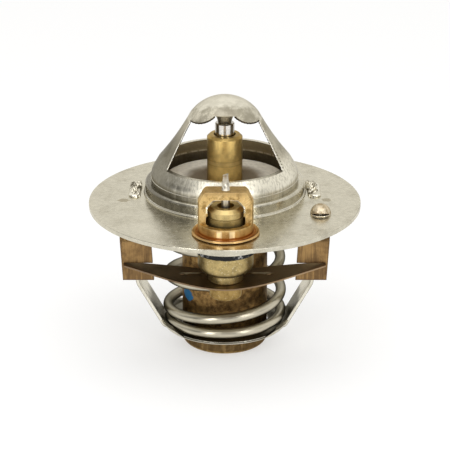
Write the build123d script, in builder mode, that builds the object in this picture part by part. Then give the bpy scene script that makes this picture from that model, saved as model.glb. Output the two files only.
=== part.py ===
from build123d import *
from math import acos, atan2, cos, degrees, hypot, pi, radians, sin, sqrt, tan
import os

# Engine thermostat: a round flange carries a wax-driven main valve behind its centre,
# a small wax-driven valve near its front edge and a bleed valve at its right.
# Lengths are millimetres. The origin is the centre of the flange's top face,
# +Z points up out of the bridge, and the small valve lies towards -Y.

# Flange
flange_radius = 32.0
flange_thickness = 1.1
flange_edge_round = 0.15
running_gap = 0.05

# Collar drawn up out of the flange round the main valve
main_axis_back = 5.6
collar_wall = 0.9
collar_height = 3.0
collar_lip = 0.7
collar_foot_round = 0.4
collar_top_round = 0.6

# Upper bridge, a pressed cone with a domed cap and two windows
bridge_sheet = 0.85
bridge_wall_inset = 1.45
bridge_shoulder_height = 5.4
bridge_shoulder_round = 4.0
cone_foot_inset = 1.62
cone_foot_height = 8.2
cone_bulge = 0.35
cap_radius = 9.95
bridge_height = 23.75
window_sill_height = 8.0
window_sill_inset = 2.23
window_head_fall = 5.05
window_head_half_width = 8.0
window_arch_fall = 2.85
window_arch_half_width = 2.2
wing_fall = 4.4
wing_half_width = 4.8
socket_cover = 1.15
socket_length = 5.6
socket_top_radius = 3.4
socket_tip_radius = 1.4

# Main piston, held by the socket of the upper bridge
piston_radius = 2.3
piston_length = 45.0
piston_edge = 0.2
piston_dimple_depth = 0.3

# Valve plate
plate_sheet = 0.8
plate_rim_clearance = 0.8
plate_crown_height = 1.9
plate_crown_clearance = 0.25
plate_step_run = 1.1
plate_rim_land = 1.7
plate_dish_radius = 8.6
plate_dish_run = 2.4
plate_dish_depth = 2.4
plate_bend = 0.8

# Main guide, a turned brass sleeve
guide_radius = 4.2
guide_height = 13.5
guide_edge = 0.6
guide_mouth_radius = 2.6
guide_mouth_depth = 1.6
guide_shoulder_radius = 7.0
guide_shoulder_height = 1.1
guide_flange_height = 2.0

# Main wax cup
cup_radius = 10.25
cup_wall = 0.9
cup_length = 37.9
cup_base_round = 1.5
cup_lip = 0.5
cup_lip_reach = 1.95

# Seal washer, rubber boot and wax inside the main cup
washer_radius = 3.6
washer_thickness = 0.9
boot_flange_thickness = 1.2
boot_radius = 4.1
boot_floor = 1.2
boot_bore_clearance = 0.06

# Lower bridge, a strip with a pan that holds the spring
strip_width = 8.1
strip_sheet = 0.8
leg_outset = 2.5
knee_depth = 22.0
knee_round = 4.0
pan_clearance = 0.09
pan_depth = 33.8
pan_corner_round = 1.0
pan_hole_clearance = 0.35
wing_wall_height = 1.25
wing_top_inset = 2.44
wing_foot_inset = 5.14
tab_clearance = 0.08
stake_width = 2.8
stake_outset = 0.35
stake_length = 8.9
stake_height = 0.6
stake_round = 0.45

# Main spring
wire_diameter = 2.5
coil_clearance = 1.4
coil_spread = 0.8
end_coil_inset = 0.3
low_coil_turns = 1.0
low_coil_pitch = 2.55
top_coil_turns = 0.9
top_coil_pitch = 2.0
active_turns = 3.4
spring_start_angle = 185.0
coil_points_per_turn = 8

# Small valve: cage, seat plate, guide, body, seal and cup
sub_axis_x = 0.2
cage_radius = 6.3
cage_bore = 4.95
cage_height = 10.4
cage_bar_thickness = 1.8
cage_ring_height = 2.9
cage_depth = 4.3
cage_top_radius = 5.1
cage_chamfer_height = 2.4
cage_top_round = 0.7
cage_window_corner = 1.4
cage_window_corner_height = 1.8
cage_rim_radius = 7.62
cage_rim_height = 0.5
cage_rim_sheet = 0.4
cage_rim_lift = 0.5
cage_rim_flare = 0.3
cage_clearance = 0.08
seat_plate_radius = 10.25
seat_plate_thickness = 0.7
seat_plate_bore = 4.9
seat_edge_round = 0.25
sub_seal_radius = 7.1
sub_seal_thickness = 2.35
sub_seal_round = 0.4
sub_guide_radius = 4.1
sub_guide_height = 6.6
sub_guide_edge = 0.8
sub_guide_mouth_radius = 2.0
sub_guide_mouth_depth = 1.5
sub_groove_height = 4.6
sub_groove_width = 0.4
sub_groove_depth = 0.25
sub_body_radius = 6.35
sub_body_height = 4.9
sub_body_round = 2.0
sub_body_top_edge = 0.3
sub_neck_radius = 4.0
sub_neck_length = 1.9
sub_neck_round = 0.5
sub_flange_radius = 4.9
sub_flange_thickness = 1.2
sub_cup_radius = 3.7
sub_cup_wall = 0.55
sub_cup_length = 10.1
sub_cup_flange = 0.6
sub_cup_round = 0.7
sub_boot_radius = 2.1
sub_boot_floor = 0.8
sub_boot_flange = 0.6
sub_piston_radius = 1.0
sub_piston_depth = 7.2
sub_blade_height = 14.0
sub_blade_width = 1.75
sub_blade_thickness = 0.6
sub_blade_turn = 20.0
sub_blade_twist = 25.0
sub_blade_taper_height = 11.4

# Leaf spring and the two brackets that carry its tips
leaf_sheet = 0.35
leaf_tip_reach = 22.6
leaf_tip_depth = 7.9
leaf_shoulder_reach = 14.4
leaf_shoulder_drop = 1.5
leaf_half_width = 6.1
leaf_mid_reach = 10.0
leaf_mid_half_width = 4.8
leaf_tip_half_width = 0.9
leaf_hole_clearance = 0.15
leaf_seat_gap = 0.3
bracket_sheet = 1.0
bracket_setback = 0.9
bracket_width = 7.1
bracket_tip_land = 1.3
bracket_drop = 11.8
bracket_lean = 0.65
bracket_foot_length = 8.0
bracket_bend = 0.6
slot_clearance = 0.3
slot_end_clearance = 0.2

# Bleed valve: hood and ball
bleed_inset = 9.8
bleed_front = 9.3
hood_radius = 2.4
hood_height = 2.4
hood_sheet = 0.35
hood_mouth_half_width = 2.05
hood_mouth_height = 0.75
ball_radius = 0.85
bleed_hole_radius = 0.6
ball_gap = 0.03

# Levels and radii that several pieces share
flange_under = -flange_thickness
spring_top_radius = cup_radius + coil_clearance + wire_diameter / 2
spring_low_radius = spring_top_radius + coil_spread
spring_end_radius = spring_low_radius - end_coil_inset
plate_crown_radius = spring_top_radius + wire_diameter / 2 + plate_crown_clearance
plate_rim_radius = plate_crown_radius + plate_step_run + plate_rim_land
collar_bore = plate_rim_radius + plate_rim_clearance
collar_radius = collar_bore + collar_wall
bridge_wall_radius = collar_radius - bridge_wall_inset
cone_foot_radius = bridge_wall_radius - cone_foot_inset
window_sill_half_width = cone_foot_radius - window_sill_inset
pan_radius = spring_end_radius + wire_diameter / 2 + pan_clearance
leg_spread = collar_radius + leg_outset
bracket_outer = leaf_tip_reach + bracket_tip_land
bracket_inner = bracket_outer - bracket_width
bleed_x = flange_radius - bleed_inset
sub_axis_front = collar_radius + collar_foot_round + cage_clearance + cage_rim_radius - main_axis_back
window_head_height = bridge_height - window_head_fall
window_arch_height = bridge_height - window_arch_fall
wing_height = bridge_height - wing_fall
socket_top_height = bridge_height - socket_cover
socket_tip_height = socket_top_height - socket_length
lip_under = collar_height - collar_lip
bridge_foot_under = lip_under - bridge_sheet
plate_rim_top = bridge_foot_under - running_gap
plate_crown_top = plate_rim_top + plate_crown_height
plate_hub_top = plate_crown_top - plate_dish_depth
plate_hub_under = plate_hub_top - plate_sheet
guide_flange_top = plate_hub_under - guide_shoulder_height
guide_flange_under = guide_flange_top - guide_flange_height
cup_top = guide_flange_top + cup_lip
cup_bottom = cup_top - cup_length
cup_bore = cup_radius - cup_wall
piston_top = socket_tip_height + piston_dimple_depth
socket_flare = (socket_top_radius - socket_tip_radius) / (socket_top_height - socket_tip_height)
dimple_radius = socket_tip_radius + running_gap + piston_dimple_depth * socket_flare
piston_bottom = piston_top - piston_length
piston_bore = piston_radius + boot_bore_clearance
pan_floor = -pan_depth + strip_sheet
sub_seat = flange_under - seat_plate_thickness
sub_seal_top = sub_seat - running_gap
sub_seal_under = sub_seal_top - sub_seal_thickness
sub_body_top = sub_seal_under - running_gap
sub_body_under = sub_body_top - sub_body_height
sub_neck_under = sub_body_under - sub_neck_length
sub_flange_under = sub_body_top - sub_flange_thickness
sub_cup_under = sub_flange_under - sub_cup_length
sub_cup_bore = sub_cup_radius - sub_cup_wall
sub_bore = sub_piston_radius + boot_bore_clearance

# Planes and axes of the three valves
main_section = Plane.XZ.offset(-main_axis_back)
main_axis = Axis((0, main_axis_back, 0), (0, 0, 1))
main_centre = (0, main_axis_back)
sub_section = Plane(origin=(sub_axis_x, -sub_axis_front, 0), x_dir=(1, 0, 0), z_dir=(0, -1, 0))
sub_axis = Axis((sub_axis_x, -sub_axis_front, 0), (0, 0, 1))
sub_centre = (sub_axis_x, -sub_axis_front)
bleed_section = Plane(origin=(bleed_x, -bleed_front, 0), x_dir=(1, 0, 0), z_dir=(0, -1, 0))
bleed_axis = Axis((bleed_x, -bleed_front, 0), (0, 0, 1))
bleed_centre = (bleed_x, -bleed_front)


def write(piece, name):
    """Label a finished piece and write it as one STEP file."""
    piece.part.label = name
    export_step(piece.part, f"parts/{name}.step")


os.makedirs("parts", exist_ok=True)

# Flange: a flat disc with a collar drawn up round the main valve's bore
stake_x = leg_spread - strip_sheet / 2
with BuildPart() as flange:
    with BuildSketch(Plane.XY.offset(flange_under)):
        Circle(flange_radius)
        with Locations(main_centre):
            Circle(collar_bore, mode=Mode.SUBTRACT)
    extrude(amount=flange_thickness)
    fillet(flange.edges().filter_by(GeomType.CIRCLE).sort_by(SortBy.RADIUS)[-2:], flange_edge_round)
    with BuildSketch(main_section):
        with BuildLine():
            foot_start = (collar_radius + collar_foot_round, 0)
            foot_end = (collar_radius, collar_foot_round)
            Line((collar_bore, flange_under), (foot_start[0], flange_under))
            Line((foot_start[0], flange_under), foot_start)
            RadiusArc(foot_start, foot_end, -collar_foot_round)
            Line(foot_end, (collar_radius, collar_height - collar_top_round))
            RadiusArc(
                (collar_radius, collar_height - collar_top_round),
                (collar_radius - collar_top_round, collar_height),
                -collar_top_round,
            )
            Line(
                (collar_radius - collar_top_round, collar_height),
                (bridge_wall_radius + running_gap, collar_height),
            )
            Line(
                (bridge_wall_radius + running_gap, collar_height),
                (bridge_wall_radius + running_gap, lip_under),
            )
            Line((bridge_wall_radius + running_gap, lip_under), (collar_bore, lip_under))
            Line((collar_bore, lip_under), (collar_bore, flange_under))
        make_face()
    revolve(axis=main_axis)
    with BuildSketch(Plane.XY.offset(flange_under)):
        with Locations(sub_centre):
            Circle(cage_radius + running_gap)
        with Locations(bleed_centre):
            Circle(bleed_hole_radius)
        with Locations((stake_x, main_axis_back), (-stake_x, main_axis_back)):
            Rectangle(strip_sheet + 2 * tab_clearance, strip_width + 2 * tab_clearance)
    extrude(amount=flange_thickness, mode=Mode.SUBTRACT)
write(flange, "flange")

# Upper bridge: foot, cone and cap pressed from one sheet, then the windows are cut
cap_centre_height = bridge_height - cap_radius
cone_fall = atan2(cone_foot_height - cap_centre_height, cone_foot_radius)
cone_reach = hypot(cone_foot_radius, cone_foot_height - cap_centre_height)
cap_angle = cone_fall + acos(cap_radius / cone_reach)
cap_edge = (cap_radius * cos(cap_angle), cap_centre_height + cap_radius * sin(cap_angle))


def bridge_profile(inset):
    """Half section of the bridge's wall and cap, moved inwards by inset, closed on the axis."""
    wall = bridge_wall_radius - inset
    lean = atan2(cone_foot_radius - cap_edge[0], cap_edge[1] - cone_foot_height)
    shoulder = bridge_shoulder_height - inset * tan(lean / 2)
    foot = (cone_foot_radius - inset * cos(lean), cone_foot_height - inset * sin(lean))
    cap = cap_radius - inset
    edge = (cap * cos(cap_angle), cap_centre_height + cap * sin(cap_angle))
    FilletPolyline(
        (wall, bridge_foot_under), (wall, shoulder), foot, radius=bridge_shoulder_round
    )
    SagittaArc(foot, edge, cone_bulge)
    CenterArc(
        (0, cap_centre_height), cap, degrees(cap_angle), 90 - degrees(cap_angle)
    )
    Line((0, cap_centre_height + cap), (0, bridge_foot_under))
    Line((0, bridge_foot_under), (wall, bridge_foot_under))


with BuildPart() as upper_bridge:
    with BuildSketch(main_section):
        with BuildLine():
            bridge_profile(0)
        make_face()
        with BuildLine():
            bridge_profile(bridge_sheet)
        make_face(mode=Mode.SUBTRACT)
    revolve(axis=main_axis)
    with BuildSketch(Plane.XY.offset(bridge_foot_under)):
        with Locations(main_centre):
            Circle(collar_bore - running_gap)
            Circle(bridge_wall_radius - bridge_sheet, mode=Mode.SUBTRACT)
    extrude(amount=bridge_sheet)
    with BuildSketch(main_section):
        with BuildLine():
            Line(
                (-window_sill_half_width, window_sill_height),
                (window_sill_half_width, window_sill_height),
            )
            Line(
                (window_sill_half_width, window_sill_height),
                (window_head_half_width, window_head_height),
            )
            Spline(
                (window_head_half_width, window_head_height),
                (wing_half_width, wing_height),
                (window_arch_half_width, window_arch_height),
            )
            Line(
                (window_arch_half_width, window_arch_height),
                (-window_arch_half_width, window_arch_height),
            )
            Spline(
                (-window_arch_half_width, window_arch_height),
                (-wing_half_width, wing_height),
                (-window_head_half_width, window_head_height),
            )
            Line(
                (-window_head_half_width, window_head_height),
                (-window_sill_half_width, window_sill_height),
            )
        make_face()
    extrude(amount=bridge_wall_radius, both=True, mode=Mode.SUBTRACT)
    with BuildSketch(main_section):
        with BuildLine():
            socket_root = (socket_top_radius, socket_top_height)
            Polyline(
                (0, socket_tip_height),
                (socket_tip_radius, socket_tip_height),
                socket_root,
                (0, socket_top_height),
                close=True,
            )
        make_face()
    revolve(axis=main_axis)
write(upper_bridge, "upper_bridge")

# Main piston: ground pin with a dimple for the tip of the bridge's socket
with BuildPart() as main_piston:
    with BuildSketch(main_section):
        with BuildLine():
            Polyline(
                (0, piston_bottom),
                (piston_radius, piston_bottom),
                (piston_radius, piston_top),
                (dimple_radius, piston_top),
                (socket_tip_radius, socket_tip_height),
                (0, socket_tip_height),
                close=True,
            )
        make_face()
        chamfer(vertices().group_by(Axis.X)[-1], piston_edge)
    revolve(axis=main_axis)
write(main_piston, "main_piston")

# Valve plate: rim, raised crown and a dished hub in one pressed sheet
with BuildPart() as valve_plate:
    with BuildSketch(main_section):
        with BuildLine():
            half_sheet = plate_sheet / 2
            dish_foot = plate_dish_radius - plate_dish_run
            FilletPolyline(
                (guide_radius + running_gap, plate_hub_top - half_sheet),
                (dish_foot, plate_hub_top - half_sheet),
                (plate_dish_radius, plate_crown_top - half_sheet),
                (plate_crown_radius, plate_crown_top - half_sheet),
                (plate_crown_radius + plate_step_run, plate_rim_top - half_sheet),
                (plate_rim_radius, plate_rim_top - half_sheet),
                radius=plate_bend,
            )
        trace(line_width=plate_sheet)
    revolve(axis=main_axis)
write(valve_plate, "valve_plate")

# Main guide: sleeve with an open mouth, a shoulder under the plate and a clamped flange
with BuildPart() as main_guide:
    guide_top = plate_hub_top + guide_height
    guide_flange_radius = cup_bore - running_gap
    with BuildSketch(main_section):
        with BuildLine():
            Polyline(
                (piston_bore, guide_flange_under + washer_thickness),
                (washer_radius + running_gap, guide_flange_under + washer_thickness),
                (washer_radius + running_gap, guide_flange_under),
                (guide_flange_radius, guide_flange_under),
                (guide_flange_radius, guide_flange_top),
                (guide_shoulder_radius, guide_flange_top),
                (guide_shoulder_radius, plate_hub_under),
                (guide_radius, plate_hub_under),
                (guide_radius, guide_top - guide_edge),
                (guide_radius - guide_edge, guide_top),
                (guide_mouth_radius, guide_top),
                (guide_mouth_radius, guide_top - guide_mouth_depth),
                (piston_bore, guide_top - guide_mouth_depth),
                close=True,
            )
        make_face()
    revolve(axis=main_axis)
write(main_guide, "main_guide")

# Main wax cup: deep drawn cup whose lip is rolled in over the guide's flange
with BuildPart() as main_wax_cup:
    with BuildSketch(main_section):
        with BuildLine():
            Polyline(
                (0, cup_bottom),
                (cup_radius, cup_bottom),
                (cup_radius, cup_top),
                (cup_radius - cup_lip_reach, cup_top),
                (cup_radius - cup_lip_reach, cup_top - cup_lip),
                (cup_bore, cup_top - cup_lip),
                (cup_bore, cup_bottom + cup_wall),
                (0, cup_bottom + cup_wall),
                close=True,
            )
        make_face()
    revolve(axis=main_axis)
    fillet(main_wax_cup.edges().group_by(Axis.Z)[0], cup_base_round)
    fillet(main_wax_cup.edges().group_by(Axis.Z)[-1].sort_by(SortBy.RADIUS)[-1], cup_lip)
write(main_wax_cup, "main_wax_cup")

# Washer in the guide's lower end that keeps the rubber from creeping out
with BuildPart() as guide_washer:
    with BuildSketch(Plane.XY.offset(guide_flange_under)):
        with Locations(main_centre):
            Circle(washer_radius)
            Circle(piston_bore, mode=Mode.SUBTRACT)
    extrude(amount=washer_thickness)
write(guide_washer, "guide_washer")

# Rubber boot: a clamped flange and a closed sleeve round the piston
boot_floor_top = piston_bottom - running_gap
boot_under = boot_floor_top - boot_floor
with BuildPart() as main_boot:
    with BuildSketch(main_section):
        with BuildLine():
            Polyline(
                (0, boot_under),
                (boot_radius, boot_under),
                (boot_radius, guide_flange_under - boot_flange_thickness),
                (cup_bore - running_gap, guide_flange_under - boot_flange_thickness),
                (cup_bore - running_gap, guide_flange_under),
                (piston_bore, guide_flange_under),
                (piston_bore, boot_floor_top),
                (0, boot_floor_top),
                close=True,
            )
        make_face()
    revolve(axis=main_axis)
    fillet(main_boot.edges().group_by(Axis.Z)[0], boot_floor)
write(main_boot, "main_boot")

# Wax charge that fills the cup round the boot
with BuildPart() as main_wax:
    with BuildSketch(main_section):
        with BuildLine():
            wax_floor = cup_bottom + cup_wall + running_gap
            wax_top = guide_flange_under - boot_flange_thickness - running_gap
            wax_dip = boot_under - running_gap
            Polyline(
                (0, wax_floor),
                (cup_bore - running_gap, wax_floor),
                (cup_bore - running_gap, wax_top),
                (boot_radius + running_gap, wax_top),
                (boot_radius + running_gap, wax_dip),
                (0, wax_dip),
                close=True,
            )
        make_face()
    revolve(axis=main_axis)
write(main_wax, "main_wax")

# Lower bridge: strip legs run down to a round pan with a low wall behind its wings
leg_slope = (leg_spread - pan_radius) / (pan_depth - knee_depth)
slope_angle = atan2(leg_spread - pan_radius, pan_depth - knee_depth)
half_strip = strip_sheet / 2
mid_spread = leg_spread - half_strip
mid_pan = pan_radius - half_strip * tan(pi / 4 - slope_angle / 2)
mid_knee = knee_depth - half_strip * tan(slope_angle / 2)
with BuildPart() as lower_bridge:
    with BuildSketch(main_section):
        with BuildLine():
            wing_top = pan_floor + wing_wall_height
            FilletPolyline(
                (mid_pan + (wing_top - pan_floor + half_strip) * leg_slope, wing_top),
                (mid_pan, pan_floor - half_strip),
                (cup_radius, pan_floor - half_strip),
                radius=pan_corner_round + half_strip,
            )
        trace(line_width=strip_sheet)
    revolve(axis=main_axis)
    with BuildSketch(main_section):
        with BuildLine():
            Polyline(
                (pan_radius - wing_foot_inset, pan_floor),
                (pan_radius - wing_top_inset, wing_top),
                (pan_radius - wing_top_inset, pan_floor + pan_depth),
                (wing_top_inset - pan_radius, pan_floor + pan_depth),
                (wing_top_inset - pan_radius, wing_top),
                (wing_foot_inset - pan_radius, pan_floor),
                close=True,
            )
        make_face()
    extrude(amount=leg_spread, both=True, mode=Mode.SUBTRACT)
    with BuildSketch(main_section):
        with BuildLine():
            FilletPolyline(
                (mid_spread, 0),
                (mid_spread, -mid_knee),
                (mid_pan, pan_floor - half_strip),
                (cup_radius, pan_floor - half_strip),
                radius=[knee_round, pan_corner_round + half_strip],
            )
        trace(line_width=strip_sheet)
        mirror(about=Plane.YZ)
    extrude(amount=strip_width / 2, both=True)
    with BuildSketch(Plane.XY):
        head_x = stake_x + stake_outset
        with Locations((head_x, main_axis_back), (-head_x, main_axis_back)):
            RectangleRounded(stake_width, stake_length, stake_width / 2 - running_gap)
    extrude(amount=stake_height)
    fillet(lower_bridge.edges().group_by(Axis.Z)[-1], stake_round)
    with BuildSketch(Plane.XY.offset(-pan_depth)):
        with Locations(main_centre):
            Circle(cup_radius + pan_hole_clearance)
    extrude(amount=strip_sheet, mode=Mode.SUBTRACT)
write(lower_bridge, "lower_bridge")

# Main spring: a round wire coiled from the pan to the plate, with both end coils closed up
spring_floor = pan_floor + wire_diameter / 2
spring_ceiling = plate_crown_top - plate_sheet - wire_diameter / 2
coil_turns = low_coil_turns + active_turns + top_coil_turns
closed_rise = low_coil_turns * low_coil_pitch + top_coil_turns * top_coil_pitch
active_pitch = (spring_ceiling - spring_floor - closed_rise) / active_turns


def coil_point(turn):
    """Centre of the wire after so many turns from its lower end, rising to the right in front."""
    low_part = min(turn, low_coil_turns)
    active_part = min(max(turn - low_coil_turns, 0), active_turns)
    top_part = max(turn - low_coil_turns - active_turns, 0)
    height = spring_floor + low_part * low_coil_pitch
    height += active_part * active_pitch + top_part * top_coil_pitch
    widening = (spring_low_radius - spring_end_radius) * low_part / low_coil_turns
    narrowing = (spring_low_radius - spring_top_radius) * active_part / active_turns
    radius = spring_end_radius + widening - narrowing
    angle = radians(spring_start_angle + 360 * turn)
    return (radius * cos(angle), main_axis_back + radius * sin(angle), height)


with BuildPart() as main_spring:
    with BuildLine() as spring_line:
        steps = round(coil_turns * coil_points_per_turn)
        Spline([coil_point(step * coil_turns / steps) for step in range(steps + 1)])
    with BuildSketch(Plane(origin=spring_line.line @ 0, z_dir=spring_line.line % 0)):
        Circle(wire_diameter / 2)
    sweep(path=spring_line.line, is_frenet=True)
write(main_spring, "main_spring")

# Seat plate of the small valve, a washer under the flange, cut back at the main bore
with BuildPart() as sub_seat_plate:
    with BuildSketch(Plane.XY.offset(sub_seat)):
        with Locations(sub_centre):
            Circle(seat_plate_radius)
            Circle(seat_plate_bore, mode=Mode.SUBTRACT)
        with Locations(main_centre):
            Circle(collar_bore, mode=Mode.SUBTRACT)
    extrude(amount=seat_plate_thickness)
    fillet(sub_seat_plate.edges().group_by(Axis.Z)[0].sort_by(SortBy.RADIUS)[1:], seat_edge_round)
write(sub_seat_plate, "sub_seat_plate")

# Cage: turned brass cup, milled on two sides to leave an arch, swaged over the flange
cage_window_top = cage_height - cage_bar_thickness
with BuildPart() as sub_cage:
    with BuildSketch(sub_section):
        with BuildLine():
            FilletPolyline(
                (sub_piston_radius, cage_height),
                (cage_top_radius, cage_height),
                (cage_radius, cage_height - cage_chamfer_height),
                (cage_radius, flange_under),
                radius=cage_top_round,
            )
            Polyline(
                (cage_radius, flange_under),
                (cage_bore, flange_under),
                (cage_bore, cage_window_top - cage_window_corner_height),
                (cage_bore - cage_window_corner, cage_window_top),
                (sub_piston_radius, cage_window_top),
                (sub_piston_radius, cage_height),
            )
        make_face()
    revolve(axis=sub_axis)
    with BuildSketch(Plane.XY.offset(cage_ring_height)):
        with Locations(sub_centre):
            Rectangle(2 * cage_rim_radius, 2 * cage_rim_radius)
            Rectangle(2 * cage_rim_radius, cage_depth, mode=Mode.SUBTRACT)
    extrude(amount=cage_height, mode=Mode.SUBTRACT)
    with BuildSketch(sub_section):
        with BuildLine():
            FilletPolyline(
                (cage_radius - cage_rim_sheet / 2, cage_rim_height + cage_rim_flare),
                (cage_radius - cage_rim_sheet / 2, cage_rim_sheet / 2),
                (cage_rim_radius - cage_rim_lift, cage_rim_sheet / 2),
                (cage_rim_radius, cage_rim_height),
                radius=cage_rim_sheet,
            )
        trace(line_width=cage_rim_sheet)
    revolve(axis=sub_axis)
write(sub_cage, "sub_cage")

# Small valve's guide: sleeve with an open mouth and a groove, clamped in the body
with BuildPart() as sub_guide:
    groove_under = sub_groove_height - sub_groove_width
    groove_radius = sub_guide_radius - sub_groove_depth
    with BuildSketch(sub_section):
        with BuildLine():
            Polyline(
                (sub_bore, sub_flange_under),
                (sub_flange_radius - running_gap, sub_flange_under),
                (sub_flange_radius - running_gap, sub_body_top),
                (sub_guide_radius, sub_body_top),
                (sub_guide_radius, groove_under),
                (groove_radius, groove_under),
                (groove_radius, sub_groove_height),
                (sub_guide_radius, sub_groove_height),
                (sub_guide_radius, sub_guide_height - sub_guide_edge),
                (sub_guide_radius - sub_guide_edge, sub_guide_height),
                (sub_guide_mouth_radius, sub_guide_height),
                (sub_guide_mouth_radius, sub_guide_height - sub_guide_mouth_depth),
                (sub_bore, sub_guide_height - sub_guide_mouth_depth),
                close=True,
            )
        make_face()
    revolve(axis=sub_axis)
write(sub_guide, "sub_guide")

# Rubber seal ring that shuts against the seat plate
with BuildPart() as sub_seal:
    with BuildSketch(sub_section):
        with BuildLine():
            Polyline(
                (sub_guide_radius + running_gap, sub_seal_under),
                (sub_seal_radius, sub_seal_under),
                (sub_seal_radius, sub_seal_top),
                (sub_guide_radius + running_gap, sub_seal_top),
                close=True,
            )
        make_face()
        fillet(vertices().group_by(Axis.X)[-1], sub_seal_round)
    revolve(axis=sub_axis)
write(sub_seal, "sub_seal")

# Turned brass body of the small valve: broad head, neck and a through bore for the cup
with BuildPart() as sub_valve_body:
    with BuildSketch(sub_section):
        with BuildLine():
            FilletPolyline(
                (sub_flange_radius, sub_body_top),
                (sub_body_radius, sub_body_top),
                (sub_body_radius, sub_body_under),
                (sub_neck_radius, sub_body_under),
                (sub_neck_radius, sub_neck_under),
                (sub_cup_radius + running_gap, sub_neck_under),
                (sub_cup_radius + running_gap, sub_flange_under - sub_cup_flange),
                (sub_flange_radius, sub_flange_under - sub_cup_flange),
                radius=[sub_body_top_edge, sub_body_round, sub_neck_round, 0, 0, 0],
            )
            Line(
                (sub_flange_radius, sub_flange_under - sub_cup_flange),
                (sub_flange_radius, sub_body_top),
            )
        make_face()
    revolve(axis=sub_axis)
write(sub_valve_body, "sub_valve_body")

# Small wax cup, hung from its flange inside the body
with BuildPart() as sub_wax_cup:
    with BuildSketch(sub_section):
        with BuildLine():
            Polyline(
                (0, sub_cup_under),
                (sub_cup_radius, sub_cup_under),
                (sub_cup_radius, sub_flange_under - sub_cup_flange),
                (sub_flange_radius - running_gap, sub_flange_under - sub_cup_flange),
                (sub_flange_radius - running_gap, sub_flange_under),
                (sub_cup_bore, sub_flange_under),
                (sub_cup_bore, sub_cup_under + sub_cup_wall),
                (0, sub_cup_under + sub_cup_wall),
                close=True,
            )
        make_face()
    revolve(axis=sub_axis)
    fillet(sub_wax_cup.edges().group_by(Axis.Z)[0], sub_cup_round)
write(sub_wax_cup, "sub_wax_cup")

# Rubber boot inside the small cup
sub_piston_under = sub_flange_under - sub_piston_depth
sub_boot_under = sub_piston_under - running_gap - sub_boot_floor
with BuildPart() as sub_boot:
    with BuildSketch(sub_section):
        with BuildLine():
            Polyline(
                (0, sub_boot_under),
                (sub_boot_radius, sub_boot_under),
                (sub_boot_radius, sub_flange_under - sub_boot_flange),
                (sub_cup_bore - running_gap, sub_flange_under - sub_boot_flange),
                (sub_cup_bore - running_gap, sub_flange_under),
                (sub_bore, sub_flange_under),
                (sub_bore, sub_piston_under - running_gap),
                (0, sub_piston_under - running_gap),
                close=True,
            )
        make_face()
    revolve(axis=sub_axis)
write(sub_boot, "sub_boot")

# Wax charge in the small cup
with BuildPart() as sub_wax:
    with BuildSketch(sub_section):
        with BuildLine():
            sub_wax_floor = sub_cup_under + sub_cup_wall + running_gap
            sub_wax_top = sub_flange_under - sub_boot_flange - running_gap
            Polyline(
                (0, sub_wax_floor),
                (sub_cup_bore - running_gap, sub_wax_floor),
                (sub_cup_bore - running_gap, sub_wax_top),
                (sub_boot_radius + running_gap, sub_wax_top),
                (sub_boot_radius + running_gap, sub_boot_under - running_gap),
                (0, sub_boot_under - running_gap),
                close=True,
            )
        make_face()
    revolve(axis=sub_axis)
write(sub_wax, "sub_wax")

# Small piston: held in the cage's bar by its end, which is flattened and twisted above it
with BuildPart() as sub_piston:
    with BuildSketch(Plane.XY.offset(sub_piston_under)):
        with Locations(sub_centre):
            Circle(sub_piston_radius)
    extrude(amount=cage_height - sub_piston_under)
    blade_root = Plane((sub_axis_x, -sub_axis_front, cage_height))
    blade_start = Plane((sub_axis_x, -sub_axis_front, sub_blade_taper_height))
    blade_end = Plane((sub_axis_x, -sub_axis_front, sub_blade_height))
    with BuildSketch(blade_root):
        Circle(sub_piston_radius)
    with BuildSketch(blade_start.rotated((0, 0, sub_blade_turn))):
        Ellipse(sub_blade_width / 2, sub_blade_thickness / 2)
    with BuildSketch(blade_end.rotated((0, 0, sub_blade_turn + sub_blade_twist))):
        Ellipse(sub_blade_width / 2, sub_blade_thickness / 2)
    loft()
write(sub_piston, "sub_piston")

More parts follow.
